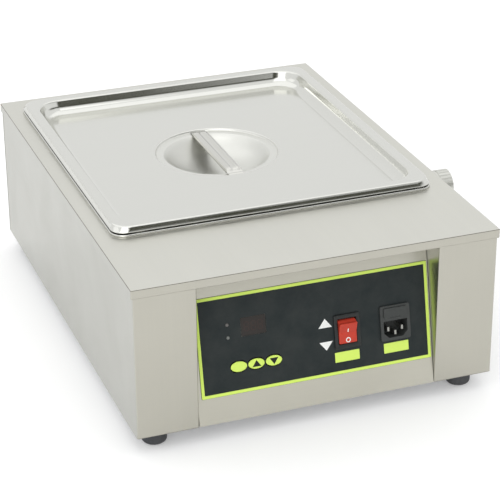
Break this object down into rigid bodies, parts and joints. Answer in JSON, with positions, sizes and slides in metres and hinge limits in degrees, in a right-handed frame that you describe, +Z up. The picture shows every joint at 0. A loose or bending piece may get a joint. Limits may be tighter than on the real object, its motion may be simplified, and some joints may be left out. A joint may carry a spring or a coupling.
{
  "type": "chocolate melting pot",
  "caption": "Box-shaped electric water-bath melting pot with a lift-out pan, a lid with a strap handle, a tilted control panel and a side overflow outlet",
  "frame": {"origin": "middle of the plane that the four feet rest on", "axes": "+X to the right seen from the control panel, +Y from the control panel to the back, +Z up"},
  "size_m": [0.393, 0.4859, 0.178],
  "materials": {
    "deck_steel": "long-grained brushed stainless steel",
    "wall_steel": "brushed stainless steel",
    "panel_steel": "brushed stainless steel",
    "base_steel": "dull galvanised steel",
    "overlay_film": "printed polyester film, slate black with a lime border",
    "window_film": "tinted display film",
    "display_black": "black display block",
    "red_lamp": "tinted lamp resin",
    "clear_lamp": "milky lamp resin",
    "lime_key": "lime green key film",
    "grey_plastic": "moulded plastic",
    "green_board": "solder-masked glass fibre board",
    "brass": "turned brass",
    "screw_steel": "zinc-plated steel",
    "blue_relay": "moulded relay case",
    "core_iron": "varnished laminations",
    "green_terminal": "moulded terminal block",
    "black_plastic": "black moulded plastic",
    "red_rocker": "glossy red-orange plastic",
    "tinned_brass": "tinned brass",
    "drawer_plastic": "black moulded plastic",
    "fuse_glass": "glass tube with nickel caps",
    "tank_steel": "pressed stainless steel",
    "mineral_wool": "mineral wool",
    "heater_sheath": "oxidised stainless sheath",
    "probe_steel": "ground stainless steel",
    "ceramic": "ceramic cut-out body",
    "outlet_steel": "turned stainless steel",
    "black_rubber": "moulded rubber",
    "brown_wire": "silicone insulated wire",
    "white_wire": "glass-braided wire",
    "black_wire": "thin insulated wire",
    "green_wire": "earth wire",
    "pan_steel": "deep-drawn stainless steel",
    "lid_steel": "polished pressed stainless steel"
  },
  "bodies": {
    "housing": {"deck_cover": "deck_steel", "left_wall": "wall_steel", "right_wall": "wall_steel", "back_panel": "wall_steel", "left_post": "wall_steel", "right_post": "wall_steel", "control_panel": "panel_steel", "base_plate": "base_steel", "panel_overlay": "overlay_film", "display_window": "window_film", "display_module": "display_black", "heat_lamp": "red_lamp", "alarm_lamp": "clear_lamp", "key_switches": "grey_plastic", "control_board": "green_board", "board_posts": "brass", "heater_nuts": "brass", "probe_nut": "brass", "earth_stud": "brass", "board_screws": "screw_steel", "foot_screws": "screw_steel", "foot_nuts": "screw_steel", "back_screws": "screw_steel", "base_screws": "screw_steel", "relay": "blue_relay", "transformer": "core_iron", "terminal_block": "green_terminal", "switch_housing": "black_plastic", "inlet_housing": "black_plastic", "switch_tabs": "tinned_brass", "inlet_pins": "tinned_brass", "water_tank": "tank_steel", "heater_clips": "tank_steel", "insulation": "mineral_wool", "heating_element": "heater_sheath", "temperature_probe": "probe_steel", "thermal_cutout": "ceramic", "overflow_pipe": "outlet_steel", "rubber_feet": "black_rubber", "mains_leads": "brown_wire", "heater_leads": "white_wire", "probe_lead": "black_wire", "earth_lead": "green_wire"},
    "pan": {"pan": "pan_steel"},
    "lid": {"lid": "lid_steel", "lid_handle": "lid_steel"},
    "rocker": {"rocker": "red_rocker"},
    "set_key": {"set_key": "lime_key"},
    "up_key": {"up_key": "lime_key"},
    "down_key": {"down_key": "lime_key"},
    "fuse_drawer": {"fuse_drawer": "drawer_plastic", "fuse": "fuse_glass"},
    "cap_seal": {"cap_gasket": "black_rubber"},
    "overflow_cap": {"overflow_cap": "outlet_steel"}
  },
  "joints": [
    {"name": "pan_lift", "type": "slide", "parent": "housing", "child": "pan", "axis": [0, 0, 1], "range_m": [0, 0.13]},
    {"name": "lid_lift", "type": "slide", "parent": "pan", "child": "lid", "axis": [0, 0, 1], "range_m": [0, 0.1]},
    {"name": "rocker_tilt", "type": "hinge", "parent": "housing", "child": "rocker", "pos_m": [0.03246, -0.22326, 0.08221], "axis": [-1, 0, 0], "range_deg": [0, 22]},
    {"name": "set_key_press", "type": "slide", "parent": "housing", "child": "set_key", "axis": [0, 0.9781, -0.2079], "range_m": [0, 0.0008], "stiffness_N_per_m": 400, "springref_m": -0.0005},
    {"name": "up_key_press", "type": "slide", "parent": "housing", "child": "up_key", "axis": [0, 0.9781, -0.2079], "range_m": [0, 0.0008], "stiffness_N_per_m": 400, "springref_m": -0.0005},
    {"name": "down_key_press", "type": "slide", "parent": "housing", "child": "down_key", "axis": [0, 0.9781, -0.2079], "range_m": [0, 0.0008], "stiffness_N_per_m": 400, "springref_m": -0.0005},
    {"name": "drawer_pull", "type": "slide", "parent": "housing", "child": "fuse_drawer", "axis": [0, -0.9781, 0.2079], "range_m": [0, 0.016]},
    {"name": "cap_travel", "type": "slide", "parent": "housing", "child": "cap_seal", "axis": [1, 0, 0], "range_m": [0, 0.017]},
    {"name": "cap_turn", "type": "hinge", "parent": "cap_seal", "child": "overflow_cap", "pos_m": [0.2, -0.0595, 0.135], "axis": [-1, 0, 0], "range_deg": [0, 1440]}
  ],
  "couplings": [
    {"joint": "cap_travel", "follows": "cap_turn", "m_per_rad": 0.00063662}
  ]
}
